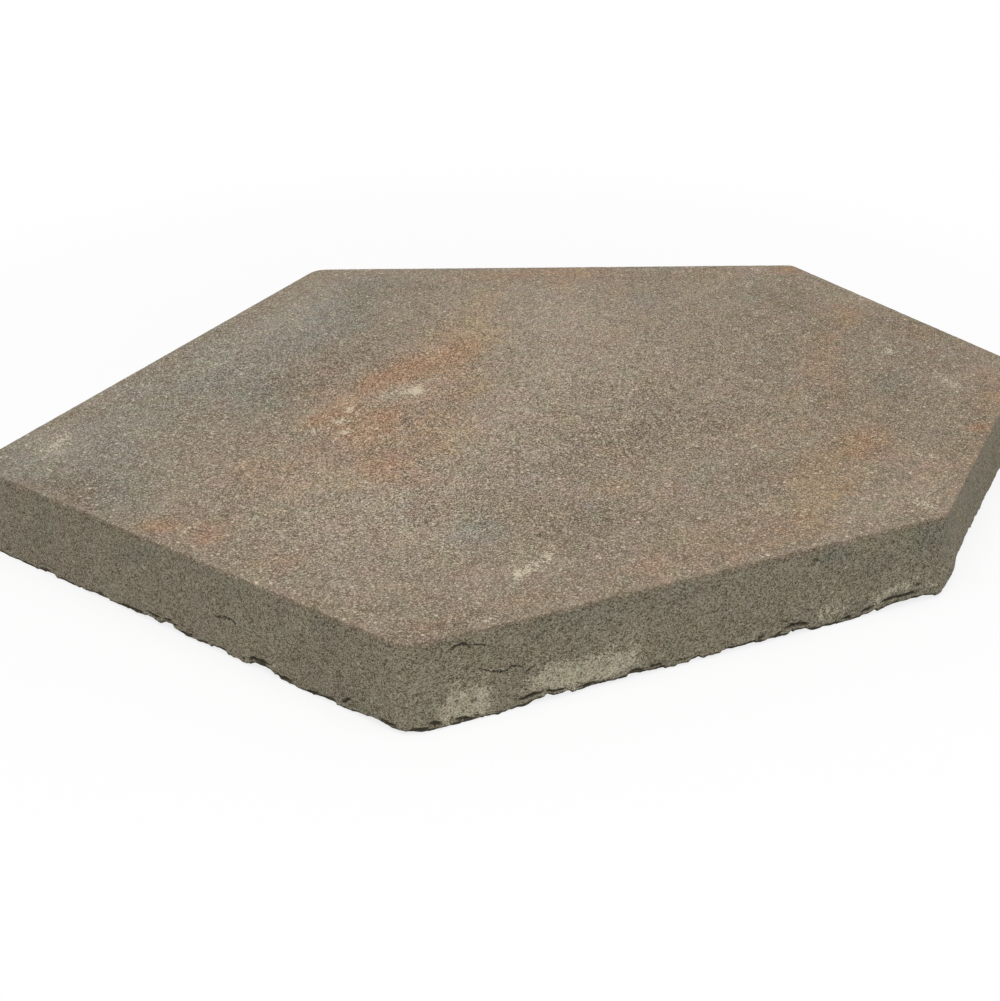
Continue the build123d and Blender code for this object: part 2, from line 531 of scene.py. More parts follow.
def wall_section():
    """The side's section from the foot up: draw-in, height and how steeply it faces up."""
    lean_angle = atan2(LEAN, 1)
    # The round is tangent to the leaning wall and to the wearing face.
    round_middle = LEAN * THICKNESS + ARRIS_RADIUS * (sqrt(1 + LEAN**2) - LEAN)
    wall_top = THICKNESS - ARRIS_RADIUS + ARRIS_RADIUS * sin(lean_angle)
    low_heights = np.arange(FOOT_ROWS) * FOOT_ROW_SPACING
    foot_top = FOOT_ROWS * FOOT_ROW_SPACING
    steps = round((wall_top - foot_top) / ROW_SPACING)
    heights = [*low_heights, *np.linspace(foot_top, wall_top, steps, endpoint=False)]
    rows = [(LEAN * height, height, lean_angle) for height in heights]
    for i in range(ARRIS_STEPS + 1):
        angle = lean_angle + (pi / 2 - lean_angle) * i / ARRIS_STEPS
        inward = round_middle - ARRIS_RADIUS * cos(angle)
        rows.append((inward, THICKNESS - ARRIS_RADIUS + ARRIS_RADIUS * sin(angle), angle))
    return rows


def inside_distance(points):
    """How far plan points lie inside the nearest wall, measured at its middle height."""
    return np.min([(middle - points) @ outward for middle, outward in WALLS.values()], axis=0)


def hexagonal_lattice(low, high, spacing):
    """Plan points in rows a little closer than their spacing, every second row shifted by half."""
    row_gap = spacing * sqrt(3) / 2
    xs = np.arange(low[0], high[0], spacing)
    ys = np.arange(low[1], high[1], row_gap)
    grid_x, grid_y = np.meshgrid(xs, ys)
    grid_x += (np.arange(len(ys)) % 2)[:, None] * spacing / 2
    return np.column_stack([grid_x.ravel(), grid_y.ravel()])


def small_mark_cover(points):
    """True where a plan point lies on one of the small bright marks."""
    covered = np.zeros(len(points), bool)
    for x, y, length, _, _, _ in BLOOM_MARKS:
        reach = FINE_REACH * min(length, LONGEST_FINE_MARK)
        covered |= np.hypot(points[:, 0] - x, points[:, 1] - y) < reach
    return covered


def cap_points(ring, spacings, finer=None):
    """Points that fill a ring, spaced by how far inside it they lie, and finest where asked."""
    drawn_in = inside_distance(ring).max()
    finest = spacings[0][1]
    nearest = EDGE_GAP * finest
    found = []
    for reach, spacing in spacings:
        points = hexagonal_lattice(ring.min(axis=0), ring.max(axis=0), spacing)
        depth = inside_distance(points) - drawn_in
        keep = (depth > nearest) & (depth <= (reach or np.inf))
        if finer is not None:
            is_fine = finer(points)
            keep = keep | (is_fine & (depth > spacing)) if spacing == finest else keep & ~is_fine
        found.append(points[keep])
        nearest = reach
    return np.vstack(found)


def cap(ring, inner):
    """Triangles over a convex ring and the points inside it, as places in the joined list."""
    points = [Vector(p) for p in np.vstack([ring, inner])]
    rim = [list(range(len(ring)))]
    verts, _, faces, originals, _, _ = delaunay_2d_cdt(points, [], rim, KEEP_INSIDE, MERGE_DISTANCE)
    home = [found[0] for found in originals]
    assert len(verts) == len(points)
    return [[home[v] for v in face] for face in faces]


def body_mesh():
    """The stone before its weathering: walls in a grid of rows, and the two faces as caps."""
    outline, outward = even_outline(foot_rim, COLUMN_SPACING)
    count = len(outline)
    section = wall_section()
    places, slopes = [], []
    for inward, height, angle in section:
        places.append(np.column_stack([outline - outward * inward, np.full(count, height)]))
        slopes.append(np.column_stack([outward * cos(angle), np.full(count, sin(angle))]))
    faces = []
    here = np.arange(count)
    beside = np.roll(here, -1)
    for row in range(len(section) - 1):
        lower, upper = row * count, (row + 1) * count
        quads = np.column_stack([lower + here, lower + beside, upper + beside, upper + here])
        faces.extend(quads.tolist())
    size = len(section) * count
    for height, ring_start, spacings, finer in (
        (THICKNESS, size - count, FACE_SPACINGS, small_mark_cover),
        (0, 0, BED_SPACINGS, None),
    ):
        ring = np.vstack(places)[ring_start:ring_start + count, :2]
        inner = cap_points(ring, spacings, finer)
        homes = np.concatenate([ring_start + here, size + np.arange(len(inner))])
        upward = 1 if height else -1
        faces.extend(homes[face[::upward]].tolist() for face in cap(ring, inner))
        places.append(np.column_stack([inner, np.full(len(inner), height)]))
        slopes.append(np.tile((0, 0, upward), (len(inner), 1)))
        size += len(inner)
    places, slopes = np.vstack(places), np.vstack(slopes)
    mesh = bpy.data.meshes.new("stone_body")
    mesh.from_pydata((places * MM).tolist(), [], faces)
    return mesh, places, slopes


def oval(u, v, length, width, turn):
    """A soft oval's cover, 1 at its middle and 0.37 at its rim."""
    turned_u = u * cos(radians(turn)) + v * sin(radians(turn))
    turned_v = v * cos(radians(turn)) - u * sin(radians(turn))
    return np.exp(-((turned_u / length) ** 2) - (turned_v / width) ** 2)


def on_wall(places, name):
    """Distance from a wall's middle to the right as one faces it, and True where it is nearest."""
    plan = places[:, :2]
    distances = {wall: (plan - middle) @ outward for wall, (middle, outward) in WALLS.items()}
    nearest = distances[name] >= np.max(list(distances.values()), axis=0) - 1e-6
    middle, outward = WALLS[name]
    return (plan - middle) @ np.array([-outward[1], outward[0]]), nearest


def face_marks(places, marks):
    """The cover of the wearing face by a list of oval marks."""
    total = np.zeros(len(places))
    for x, y, length, width, turn, strength in marks:
        total += strength * oval(places[:, 0] - x, places[:, 1] - y, length, width, turn)
    return total


def wall_marks(places, marks):
    """The cover of the walls by a list of oval marks."""
    total = np.zeros(len(places))
    for name, along, height, length, width, turn, strength in marks:
        distance, nearest = on_wall(places, name)
        total += nearest * strength * oval(distance - along, places[:, 2] - height, length, width, turn)
    return total


def foot_line(places):
    """How high the broken foot ends above the bed, for each wall's points."""
    total = np.zeros(len(places))
    for name, line in FOOT_LINES.items():
        distance, nearest = on_wall(places, name)
        total[nearest] = np.interp(distance[nearest], *zip(*line))
    return total


def crack_lines(places):
    """How far each point lies over the nearest crack, in half widths, and 1 along the crack's run."""
    over, cover = np.full(len(places), FAR_OFF), np.zeros(len(places))
    for name, half_width, points in CRACKS:
        along, heights = zip(*points)
        distance, nearest = on_wall(places, name)
        offset = (places[:, 2] - np.interp(distance, along, heights)) / half_width
        within = np.clip(np.minimum(distance - along[0], along[-1] - distance) + 1, 0, 1)
        closer = nearest & (within > 0) & (abs(offset) < abs(over))
        over[closer] = offset[closer]
        cover[closer] = within[closer]
    return over, cover * (abs(over) < CRACK_REACH)


def store(mesh, name, values):
    """Keeps one number, or one vector, for each point of a mesh."""
    is_vector = values.ndim == 2
    kind, field = ("FLOAT_VECTOR", "vector") if is_vector else ("FLOAT", "value")
    mesh.attributes.new(name, kind, "POINT").data.foreach_set(field, values.astype(np.float32).ravel())


class Value:
    """The output of a node. Sums written with it become Math nodes of its tree."""

    def __init__(self, tree, socket):
        self.tree = tree
        self.socket = socket

    def __add__(self, other):
        return self.tree.maths("ADD", self, other)

    def __sub__(self, other):
        return self.tree.maths("SUBTRACT", self, other)

    def __rsub__(self, other):
        return self.tree.maths("SUBTRACT", other, self)

    def __mul__(self, other):
        return self.tree.maths("MULTIPLY", self, other)

    def __truediv__(self, other):
        return self.tree.maths("DIVIDE", self, other)

    def __rtruediv__(self, other):
        return self.tree.maths("DIVIDE", other, self)

    __radd__ = __add__
    __rmul__ = __mul__


class Node:
    """A node of a tree, whose outputs are read by name or number."""

    def __init__(self, tree, node):
        self.tree = tree
        self.node = node

    def __getitem__(self, key):
        return Value(self.tree, self.node.outputs[key])


class Tree:
    """A node tree under construction, for a material or for a shape."""

    def __init__(self, node_tree):
        self.node_tree = node_tree
        node_tree.nodes.clear()

    def add(self, kind, settings=None, values=None):
        """A node of one type, with its settings and then its sockets' values or links."""
        node = self.node_tree.nodes.new(kind)
        for name, setting in (settings or {}).items():
            setattr(node, name, setting)
        for key, value in (values or {}).items():
            if isinstance(value, Value):
                self.node_tree.links.new(value.socket, node.inputs[key])
            else:
                node.inputs[key].default_value = value
        return Node(self, node)

    def maths(self, operation, *values):
        return self.add("ShaderNodeMath", {"operation": operation}, dict(enumerate(values)))[0]

    def smooth_step(self, value, start, end):
        """0 up to the start, 1 from the end on, and a smooth rise between."""
        settings = {"interpolation_type": "SMOOTHSTEP"}
        values = {"Value": value, "From Min": start, "From Max": end}
        return self.add("ShaderNodeMapRange", settings, values)["Result"]

    def limited(self, value):
        """A value kept from 0 to 1."""
        return self.add("ShaderNodeClamp", None, {"Value": value})["Result"]

    def scaled(self, vector, factor):
        return self.add("ShaderNodeVectorMath", {"operation": "SCALE"}, {0: vector, "Scale": factor})[0]

    def added(self, first, second):
        return self.add("ShaderNodeVectorMath", {"operation": "ADD"}, {0: first, 1: second})[0]

    def multiplied(self, first, second):
        return self.add("ShaderNodeVectorMath", {"operation": "MULTIPLY"}, {0: first, 1: second})[0]

    def blended(self, factor, first, second):
        """Two colours mixed, from all of the first at 0 to all of the second at 1."""
        return self.add("ShaderNodeMix", {"data_type": "RGBA"}, {0: factor, 6: first, 7: second})[2]

    def noise(self, place, size, detail=2.0, roughness=0.5):
        """Noise from about -0.5 to 0.5 in lumps of one size."""
        values = {"Vector": place, "Scale": 1 / size, "Detail": detail, "Roughness": roughness}
        return self.add("ShaderNodeTexNoise", None, values)["Fac"] - 0.5

    def cells(self, place, size):
        """Grains of one size: the distance to the nearest one's middle, and two chances of its own."""
        node = self.add("ShaderNodeTexVoronoi", None, {"Vector": place, "Scale": 1 / size})
        chances = self.add("ShaderNodeSeparateXYZ", None, {0: node["Color"]})
        return node["Distance"], chances[0], chances[1]


# Inputs of the weathering: lengths in millimetres, with the foot's rise and the arris's wear as
# factors.
WEATHERING = {
    "Unevenness": 0.6,
    "Grit": 0.45,
    "Pore depth": 0.9,
    "Pore size": 3.1,
    "Foot rise": 1.0,
    "Foot raggedness": 1.9,
    "Flake size": 11.0,
    "Flake depth": 1.3,
    "Recess height": 2.5,
    "Undercut": 1.5,
    "Notch depth": 1.6,
    "Arris wear": 0.2,
    "Seed": 7,
}
# Sizes of the lumps in the shape.
BULGE_SIZE = 16
PRESSED_SIZE = 9
RECESS_SIZE = 8.3
HOLLOW_SIZE = 5.7
NICK_SIZE = 5.3
LUMP_SIZE = 4.5
RAGGED_SIZE = 3.7
NOTCH_SIZE = 2.9
PRESSED_GRAIN_SIZE = 2.6
WORN_SIZE = 2.3
GRIT_SIZE = 1.9
CHIP_REACH = 13                # how high up the walls the chips of the foot reach
RIM_REACH = 8                  # and how far in on the bed
# Bands near the wearing face, by the depths below it where they start and where they are whole.
EVEN_BAND = (5, 0.8)
ARRIS_BAND = (5, 1)
WALL_COLOUR_BAND = (3.4, 0.7)
# The painted shade under the arris rises through the first of the next two bands and fades out in the
# second.
SHADE_BAND = (5, 2)
SHADE_END_BAND = (1, 0.2)


def towards_face(tree, height, band):
    """0 to 1 as the height rises through a band below the wearing face."""
    start, end = band
    return tree.smooth_step(height, THICKNESS - start, THICKNESS - end)


class RawStone:
    """The body before its weathering: the group's inputs and where a point lies."""

    def __init__(self, tree):
        self.tree = tree
        self.given = tree.add("NodeGroupInput")
        place = tree.scaled(tree.add("GeometryNodeInputPosition")[0], 1 / MM)
        parts = tree.add("ShaderNodeSeparateXYZ", None, {0: place})
        self.height = parts["Z"]
        # Each seed has its own stretch of the noise.
        seed = self.given["Seed"]
        start = {"X": seed * 617.3, "Y": seed * 233.9, "Z": 51.7}
        start = tree.add("ShaderNodeCombineXYZ", None, start)[0]
        self.place = tree.added(place, start)
        plan = tree.add("ShaderNodeCombineXYZ", None, {"X": parts["X"], "Y": parts["Y"]})[0]
        self.plan = tree.added(plan, start)
        self.side = self.kept("side")
        self.inside = self.kept("inside")

    def kept(self, name, kind="FLOAT"):
        """What the mesh keeps for each point under a name."""
        return self.tree.add("GeometryNodeInputNamedAttribute", {"data_type": kind}, {"Name": name})[0]

    def lumps(self, size, detail=2.0, roughness=0.5):
        """Lumps of one size in all directions."""
        return self.tree.noise(self.place, size, detail, roughness)

    def columns(self, size, detail=2.0, roughness=0.5):
        """Lumps in the plan, the same at every height."""
        return self.tree.noise(self.plan, size, detail, roughness)


def open_walls(stone):
    """The walls' relief of bulges, grit and open pores, with the pores and the fine part alone."""
    tree, given = stone.tree, stone.given
    bulge = stone.lumps(BULGE_SIZE) * given["Unevenness"]
    fine = stone.lumps(LUMP_SIZE, 1) * given["Unevenness"] + stone.lumps(GRIT_SIZE, 1) * given["Grit"]
    distance, chance, _ = tree.cells(stone.place, given["Pore size"])
    pore = (1 - tree.smooth_step(distance, 0.12, 0.42)) * tree.smooth_step(chance, 0.62, 0.9)
    hole = tree.maths("MAXIMUM", pore, tree.limited(stone.kept("pit")))
    # Towards the arris the walls run out even.
    even = 1 - towards_face(tree, stone.height, EVEN_BAND) * 0.7
    relief = (bulge + fine) * even - hole * given["Pore depth"] + stone.kept("bulge")
    return stone.side * relief, hole, fine


def pressed_face(stone):
    """The faint grain of the wearing face, which is pressed flat."""
    grain = stone.lumps(PRESSED_SIZE) * 0.25 + stone.lumps(PRESSED_GRAIN_SIZE) * 0.12
    return (1 - stone.side) * grain


def worn_arris(stone):
    """The arris, worn back in nicks."""
    tree = stone.tree
    near = towards_face(tree, stone.height, ARRIS_BAND) * (1 - tree.smooth_step(stone.inside, 3, 6))
    nicks = tree.smooth_step(stone.lumps(NICK_SIZE, 3, 0.6), 0.0, 0.3)
    return near * (nicks * -0.6 + stone.lumps(WORN_SIZE) * 0.4) * stone.given["Arris wear"]


def broken_foot(stone):
    """The edge broken away from the bed in ragged chips: its lift, its undercut, and the recess that gets
    painted shade.
    """
    tree, given = stone.tree, stone.given
    ragged = stone.columns(RAGGED_SIZE, 4, 0.65) * given["Foot raggedness"]
    _, chance, share = tree.cells(stone.plan, given["Flake size"])
    flake = tree.smooth_step(chance, 0.55, 0.6) * share * given["Flake depth"]
    # The recess and the flakes already lift the foot line as it is seen from above.
    rise = stone.kept("foot") * given["Foot rise"] - given["Undercut"] * 0.45 - given["Flake depth"] * 0.15
    chip = tree.maths("MAXIMUM", rise + ragged + flake, 0.0)
    rim_fade = 1 - tree.smooth_step(stone.inside, 0, RIM_REACH)
    lift = chip * rim_fade * tree.limited(1 - stone.height / CHIP_REACH)
    top = given["Recess height"] * (0.25 + stone.columns(RECESS_SIZE, 3, 0.6) * 2.6) + flake * 0.5
    recess = (1 - tree.smooth_step(stone.height, top - 0.3, top + 0.4)) * rim_fade
    notch = tree.smooth_step(stone.kept("notch") + stone.lumps(NOTCH_SIZE, 2) * 0.8, 0.3, 0.75)
    undercut = recess * (0.6 + stone.columns(HOLLOW_SIZE, 2)) * given["Undercut"]
    undercut = tree.maths("MAXIMUM", undercut, notch * given["Notch depth"])
    return lift, undercut, tree.maths("MAXIMUM", recess, notch)


def weathering_tree(finish):
    """Geometry Nodes that roughen the body: uneven walls, pores, a chipped foot and a worn arris."""
    group = bpy.data.node_groups.new("weathering", "GeometryNodeTree")
    tree = Tree(group)
    group.interface.new_socket("Geometry", in_out="INPUT", socket_type="NodeSocketGeometry")
    for name, size in WEATHERING.items():
        kind = "NodeSocketInt" if isinstance(size, int) else "NodeSocketFloat"
        group.interface.new_socket(name, in_out="INPUT", socket_type=kind)
    group.interface.new_socket("Geometry", in_out="OUTPUT", socket_type="NodeSocketGeometry")

    stone = RawStone(tree)
    wall_relief, hole, fine = open_walls(stone)
    lift, undercut, recess = broken_foot(stone)
    outward = wall_relief + pressed_face(stone) + worn_arris(stone)
    # In the lowest half millimetre only the chips of the foot move the surface.
    outward = outward * tree.smooth_step(stone.height, 0, 0.5) - undercut * stone.side
    outward = tree.scaled(stone.kept("slope", "FLOAT_VECTOR"), outward * MM)
    upward = tree.add("ShaderNodeCombineXYZ", None, {"Z": lift * MM})[0]
    # A mask of painted shade: the material darkens pores, pits, the foot's recess and the sunken parts of
    # the walls by it.
    painted_hollow_shade = tree.limited(stone.side * (hole * 0.6 + recess * 1.3 - fine * 0.45))

    keep_hollow = tree.add(
        "GeometryNodeStoreNamedAttribute",
        {"data_type": "FLOAT", "domain": "POINT"},
        {"Geometry": stone.given["Geometry"], "Name": "painted_hollow_shade", "Value": painted_hollow_shade},
    )
    moved = tree.add(
        "GeometryNodeSetPosition", None,
        {"Geometry": keep_hollow["Geometry"], "Offset": tree.added(outward, upward)},
    )
    whole = tree.add("GeometryNodeRealizeInstances", None, {"Geometry": moved["Geometry"]})
    finished = tree.add(
        "GeometryNodeSetMaterial", None, {"Geometry": whole["Geometry"], "Material": finish}
    )
    tree.add("NodeGroupOutput", None, {"Geometry": finished["Geometry"]})
    return group


def weathered(shape, finish):
    """A copy of an object's mesh after its weathering."""
    modifier = shape.modifiers.new("weathering", "NODES")
    modifier.node_group = weathering_tree(finish)
    for item in modifier.node_group.interface.items_tree:
        if item.in_out == "INPUT" and item.name in WEATHERING:
            modifier[item.identifier] = WEATHERING[item.name]
    view = bpy.context.evaluated_depsgraph_get()
    evaluated = shape.evaluated_get(view)
    mesh = bpy.data.meshes.new_from_object(evaluated, preserve_all_data_layers=True, depsgraph=view)
    shape.modifiers.clear()
    return mesh


def screen_colour(red, green, blue):
    """A colour given as it looks on a screen, from 0 to 255, as Blender holds it."""
    shares = [value / 255 for value in (red, green, blue)]
    return (*(s / 12.92 if s <= 0.04045 else ((s + 0.055) / 1.055) ** 2.4 for s in shares), 1)


TAUPE = screen_colour(150, 136, 118)
RUST = screen_colour(170, 130, 99)
OCHRE = screen_colour(166, 144, 112)
SLATE = screen_colour(134, 135, 126)
CREAM = screen_colour(230, 219, 192)
# The dark colour that painted shade in pores, pits, cracks, hollows and along the foot is mixed towards.
PAINTED_SHADE_COLOUR = screen_colour(62, 57, 46)
WALL_GREY = screen_colour(138, 130, 111)
LIME = screen_colour(186, 178, 155)
MOSS = screen_colour(116, 117, 101)


# The stains of the wearing face: colour, mark and the most of it that covers.
STAINS = [(SLATE, "slate", 0.6), (OCHRE, "ochre", 0.6), (RUST, "rust", 0.62)]
# Sizes of what the mix shows.
CLOUD_SIZE = 23
TINT_SIZE = 12
MOTTLE_SIZE = 5.3
SPECK_SIZE = 2.7
BREAK_SIZE = 2.1
SAND_SIZE = 1.5
DASH_SIZE = 0.95
GRAIN_SIZE = 0.5
# How much lighter or darker each makes the stone, over a mean of 1.
TONE_DEPTH = 0.17
CLOUD_DEPTH = 0.3
MOTTLE_DEPTH = 0.57
WALL_MOTTLE_DEPTH = 0.3
SAND_DEPTH = 0.12
GRAIN_DEPTH = 2.1
# How much the painted shade under the arris takes off the lightness.
SHADE_DEPTH = 0.13             # in the band under the arris
TINT_DEPTH = 0.2
# A dark grain loses more of its blue than of its red, so the hue stays warm.
TONE_COLOUR = (0.915, 1.0, 1.136)
DARKEST = (0.15, 0.15, 0.15)
# No plane of the stone lies in a plane of the noise's own lattice, where it fades out.
OFF_LATTICE = (411.3, 273.7, 197.9)
RELIEF_HEIGHT = 0.6            # of the grain's bump


class Mix:
    """The concrete's clouds and grains at a point of the stone, which all its colours share."""

    def __init__(self, tree):
        self.tree = tree
        place = tree.scaled(tree.add("ShaderNodeTexCoord")["Object"], 1 / MM)
        self.height = tree.add("ShaderNodeSeparateXYZ", None, {0: place})["Z"]
        self.place = tree.added(place, OFF_LATTICE)
        # Clouds and lumps of several sizes, each about -0.5 to 0.5.
        self.cloud = tree.noise(self.place, CLOUD_SIZE, 3, 0.6)
        self.mottle = tree.noise(self.place, MOTTLE_SIZE, 2, 0.6)
        self.sand = tree.noise(self.place, SAND_SIZE, 1, 0.7)
        ragged_height = self.height + self.mottle * 0.6 + self.sand * 0.8
        self.wall_share = 1 - towards_face(tree, ragged_height, WALL_COLOUR_BAND)
        # Grains with a shade each. On the face a few stand out pale, and on the walls a few lie dark.
        distance, shade, _ = tree.cells(self.place, GRAIN_SIZE)
        dark_shade = 1 - shade
        pale_grain = shade * shade - 0.33
        dark_grain = 0.33 - dark_shade * dark_shade
        grain = pale_grain + (dark_grain - pale_grain) * self.wall_share * 0.6
        self.grain = grain * (1 - tree.smooth_step(distance, 0.6, 0.9))
        # The grain is closest in the last few millimetres of the face.
        near_rim = (1 - tree.smooth_step(self.kept("inside"), 1.5, 5)) * (1 - self.wall_share)
        open_grain = CLOSEST_GRAIN + self.kept("open") + self.wall_share * 0.15
        self.open_grain = open_grain * (1 - near_rim * 0.3)
        lime = self.kept("lime") + self.mottle * 1.3 + self.sand * 1.2 + self.grain * 0.3
        self.lime = tree.smooth_step(lime, 0.3, 0.95) * 0.8

    def kept(self, name):
        """What the mesh keeps for each point under a name."""
        return self.tree.add("ShaderNodeAttribute", {"attribute_name": name})["Fac"]


def stained_face(mix):
    """The wearing face's colour: taupe under clouds of blue-grey, ochre and rust."""
    colour = TAUPE
    for stain, mark, strength in STAINS:
        cover = mix.kept(mark) + mix.mottle * 0.9 + mix.cloud * 0.6
        cover = mix.tree.smooth_step(cover, 0.0, 1.0) * strength
        colour = mix.tree.blended(cover, colour, stain)
    return colour


def limed_wall(mix):
    """The walls' colour: grey, greenish in patches, and pale where lime has come out."""
    green = mix.tree.limited(mix.kept("moss") * (0.6 + mix.mottle))
    colour = mix.tree.blended(green, WALL_GREY, MOSS)
    return mix.tree.blended(mix.lime, colour, LIME)


def tinted(mix, colour):
    """A colour that is a little redder, greener or bluer in each part of the mix."""
    tree = mix.tree
    tint = {"Vector": mix.place, "Scale": 1 / TINT_SIZE, "Detail": 2.0}
    tint = tree.add("ShaderNodeTexNoise", None, tint)["Color"]
    tint = tree.scaled(tree.added(tint, (-0.5, -0.5, -0.5)), TINT_DEPTH - mix.wall_share * 0.08)
    return tree.multiplied(colour, tree.added(tint, (1, 1, 1)))


def shaded(mix, colour):
    """A colour made lighter and darker by clouds, grains and marks, with painted shade in a band under the
    arris.
    """
    tree = mix.tree
    mottle_depth = MOTTLE_DEPTH - mix.wall_share * (MOTTLE_DEPTH - WALL_MOTTLE_DEPTH)
    grains = (mix.sand * SAND_DEPTH + mix.grain * GRAIN_DEPTH) * mix.open_grain
    fine = mix.cloud * CLOUD_DEPTH + mix.mottle * mottle_depth + grains
    fine = fine * (1 - mix.wall_share * 0.1) * (1 - mix.wall_share * mix.lime * 0.35)
    # Painted shade in a band just under the arris, where the face turns down into the wall.
    painted_arris_shade = towards_face(tree, mix.height, SHADE_BAND)
    painted_arris_shade = painted_arris_shade - towards_face(tree, mix.height, SHADE_END_BAND)
    tone = mix.kept("tone") * TONE_DEPTH + fine - painted_arris_shade * SHADE_DEPTH
    shift = tree.added(tree.scaled(TONE_COLOUR, tone), (1, 1, 1))
    shift = tree.add("ShaderNodeVectorMath", {"operation": "MAXIMUM"}, {0: shift, 1: DARKEST})[0]
    return tree.multiplied(colour, shift)


def pale_sand(mix):
    """The cover of scattered pale grains, fewer on the walls."""
    tree = mix.tree
    distance, chance, strength = tree.cells(mix.place, SPECK_SIZE)
    speck = (1 - tree.smooth_step(distance, 0.15, 0.4)) * tree.smooth_step(chance, 0.7, 0.85)
    return speck * strength * (0.8 - mix.wall_share * 0.5)


def white_bloom(mix):
    """The cover of the white flecks on the wearing face."""
    bloom = mix.kept("bloom") + mix.sand * 1.4 + mix.grain * 1.3
    return mix.tree.smooth_step(bloom, 0.35, 1.35) * (1 - mix.wall_share) * 0.8


def cracks(mix):
    """The cover of the cracks, which wander and break off."""
    tree = mix.tree
    over = mix.kept("crack_over") + mix.mottle * 3.5 + mix.sand * 4 + mix.grain * 0.8
    line = 1 - tree.smooth_step(tree.maths("ABSOLUTE", over), 0.6, 1.4)
    broken = tree.smooth_step(tree.noise(mix.place, BREAK_SIZE, 2, 0.7), -0.14, -0.02)
    return line * mix.kept("crack") * (0.35 + broken * 0.65)


def dragged_dashes(mix):
    """The cover of short level dashes, where the mould has dragged grains out of the walls."""
    drawn_out = mix.tree.multiplied(mix.place, (0.4, 0.4, 1.0))
    gaps = 0 - mix.tree.noise(drawn_out, DASH_SIZE, 2, 0.6)
    return mix.tree.smooth_step(gaps, 0.12, 0.2) * mix.wall_share


def painted_foot_shadow(mix):
    """The cover of the painted shadow along the broken foot."""
    over_foot = mix.kept("over_foot") + mix.mottle * 3.0 + mix.sand * 2.0
    low = 1 - mix.tree.smooth_step(over_foot, 0.6, 1.8)
    return low * mix.tree.smooth_step(mix.cloud + mix.mottle, -0.3, 0.0)


def concrete():
    """Sandy concrete: a clouded, stained wearing face over plainer and more open walls."""
    material = bpy.data.materials.new("concrete")
    material.use_nodes = True
    tree = Tree(material.node_tree)
    mix = Mix(tree)
    colour = tree.blended(mix.wall_share, stained_face(mix), limed_wall(mix))
    colour = shaded(mix, tinted(mix, colour))
    colour = tree.blended(pale_sand(mix), colour, CREAM)
    # Painted shade in the small pores, which the bump also sinks.
    pore = tree.smooth_step(0 - mix.sand - mix.grain * 0.4, 0.15, 0.4)
    colour = tree.blended(pore * 0.4, colour, PAINTED_SHADE_COLOUR)
    colour = tree.blended(white_bloom(mix), colour, CREAM)

    # Painted shade: the cracks, pits, dashes, hollows and broken foot are darkened towards the shade
    # colour.
    crack, dash = cracks(mix), dragged_dashes(mix)
    pit = tree.smooth_step(mix.kept("pit") + mix.mottle * 1.2 + mix.sand * 1.6, 0.45, 0.95)
    painted_hollow_shade = tree.smooth_step(mix.kept("painted_hollow_shade") + mix.sand * 0.7 + mix.mottle * 0.4, 0.1, 0.9)
    painted_shade = painted_hollow_shade * 0.85
    for layer in (crack, pit * 0.75, painted_foot_shadow(mix) * 0.8, dash * 0.7):
        painted_shade = tree.maths("MAXIMUM", painted_shade, layer)
    colour = tree.blended(painted_shade, colour, PAINTED_SHADE_COLOUR)

    relief = (mix.sand * 0.3 + mix.grain * 0.5) * mix.open_grain + mix.mottle * 0.3
    relief = relief - pore * 0.3 - crack * 0.6 - pit * 0.5 - dash * 0.3
    bump = {"Strength": 0.8, "Distance": RELIEF_HEIGHT * MM, "Height": relief}
    finish = {
        "Base Color": colour,
        "Roughness": 0.93 + mix.sand * 0.08,
        "Specular IOR Level": 0.25,
        "Normal": tree.add("ShaderNodeBump", None, bump)["Normal"],
    }
    shader = tree.add("ShaderNodeBsdfPrincipled", None, finish)
    tree.add("ShaderNodeOutputMaterial", None, {"Surface": shader["BSDF"]})
    return material


def stone_body():
    """The whole stone as one closed mesh, weathered, with its marks kept as attributes."""
    mesh, places, slopes = body_mesh()
    on_face = places[:, 2] > THICKNESS - 2 * ARRIS_RADIUS
    inside = inside_distance(places[:, :2])
    up = slopes[:, 2]
    on_bed = up < -0.5
    store(mesh, "slope", slopes)
    store(mesh, "side", np.where(on_bed, 0, 1 - np.clip(up, 0, 1) ** 2))
    store(mesh, "inside", np.maximum(inside, 0))
    store(mesh, "foot", foot_line(places))
    # Inside the rim of the bed no painted foot shadow shows, so its points count as high over the foot.
    store(mesh, "over_foot", np.where(on_bed & (inside > 1), THICKNESS, places[:, 2]))
    crack_over, crack = crack_lines(places)
    store(mesh, "crack_over", crack_over)
    store(mesh, "crack", crack)
    for name, marks in (
        ("pit", PIT_MARKS),
        ("notch", NOTCH_MARKS),
        ("bulge", BULGE_MARKS),
        ("lime", LIME_MARKS),
        ("moss", MOSS_MARKS),
    ):
        store(mesh, name, wall_marks(places, marks))
    for name, marks in (
        ("rust", RUST_MARKS),
        ("ochre", OCHRE_MARKS),
        ("slate", SLATE_MARKS),
        ("bloom", BLOOM_MARKS),
        ("tone", TONE_MARKS),
        ("open", OPEN_MARKS),
    ):
        store(mesh, name, on_face * face_marks(places, marks))
    blank = bpy.data.objects.new("blank", mesh)
    bpy.context.scene.collection.objects.link(blank)
    finished = weathered(blank, concrete())
    bpy.data.objects.remove(blank)
    finished.shade_smooth()
    body = bpy.data.objects.new("stone_body", finished)
    bpy.context.scene.collection.objects.link(body)
    print("stone_body triangles", sum(len(p.vertices) - 2 for p in finished.polygons))
    return body


